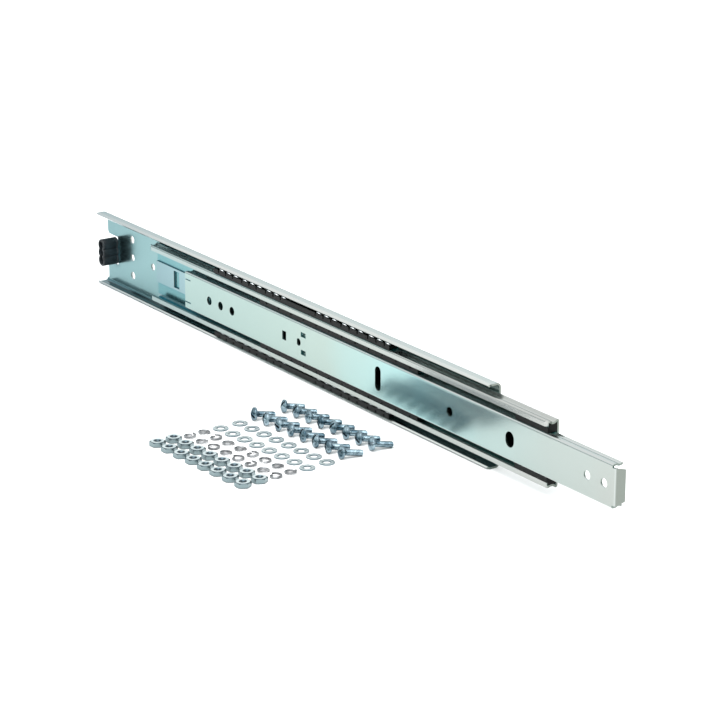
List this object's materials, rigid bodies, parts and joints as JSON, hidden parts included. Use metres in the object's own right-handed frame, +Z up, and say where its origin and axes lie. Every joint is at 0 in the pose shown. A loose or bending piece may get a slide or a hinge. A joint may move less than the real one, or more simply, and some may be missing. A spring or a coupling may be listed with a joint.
{
  "type": "telescopic slide rail",
  "caption": "Full-extension ball-bearing slide rail in zinc-plated steel, standing part open, with loose nuts, washers and screws laid out beside it.",
  "frame": {"origin": "centre of the whole kit's bounding box in plan, on the ground it stands on", "axes": "+X along the rails towards the front, where they pull out; +Y towards the mounting face of the outer rail; +Z up"},
  "size_m": [0.575, 0.15, 0.052],
  "materials": {
    "zinc_steel": "clear zinc plate, satin",
    "fastener_steel": "bright zinc plate",
    "ball_steel": "polished",
    "black_plastic": "moulded, matt",
    "black_rubber": "moulded, matt"
  },
  "bodies": {
    "base": {"outer_rail": "zinc_steel", "rear_bumper": "black_rubber", "hex_nuts": "fastener_steel", "flat_washers": "fastener_steel", "spring_washers": "fastener_steel", "screws": "fastener_steel"},
    "middle": {"intermediate_rail": "zinc_steel", "rear_stop_plate": "zinc_steel", "upper_front_guide": "black_plastic", "lower_front_guide": "black_plastic"},
    "inner": {"inner_rail": "zinc_steel"},
    "upper_outer_row": {"upper_outer_cage": "black_plastic", "upper_outer_balls": "ball_steel"},
    "lower_outer_row": {"lower_outer_cage": "black_plastic", "lower_outer_balls": "ball_steel"},
    "upper_inner_row": {"upper_inner_cage": "black_plastic", "upper_inner_balls": "ball_steel"},
    "lower_inner_row": {"lower_inner_cage": "black_plastic", "lower_inner_balls": "ball_steel"}
  },
  "joints": [
    {"name": "intermediate_slide", "type": "slide", "parent": "base", "child": "middle", "axis": [1, 0, 0], "range_m": [-0.057, 0.164]},
    {"name": "inner_slide", "type": "slide", "parent": "middle", "child": "inner", "axis": [1, 0, 0], "range_m": [-0.0498, 0.177]},
    {"name": "upper_outer_roll", "type": "slide", "parent": "base", "child": "upper_outer_row", "axis": [1, 0, 0], "range_m": [-0.0285, 0.082]},
    {"name": "lower_outer_roll", "type": "slide", "parent": "base", "child": "lower_outer_row", "axis": [1, 0, 0], "range_m": [-0.0285, 0.082]},
    {"name": "upper_inner_roll", "type": "slide", "parent": "middle", "child": "upper_inner_row", "axis": [1, 0, 0], "range_m": [-0.0249, 0.0885]},
    {"name": "lower_inner_roll", "type": "slide", "parent": "middle", "child": "lower_inner_row", "axis": [1, 0, 0], "range_m": [-0.0249, 0.0885]}
  ],
  "couplings": [
    {"joint": "upper_outer_roll", "follows": "intermediate_slide", "ratio": 0.5},
    {"joint": "lower_outer_roll", "follows": "intermediate_slide", "ratio": 0.5},
    {"joint": "upper_inner_roll", "follows": "inner_slide", "ratio": 0.5},
    {"joint": "lower_inner_roll", "follows": "inner_slide", "ratio": 0.5}
  ]
}
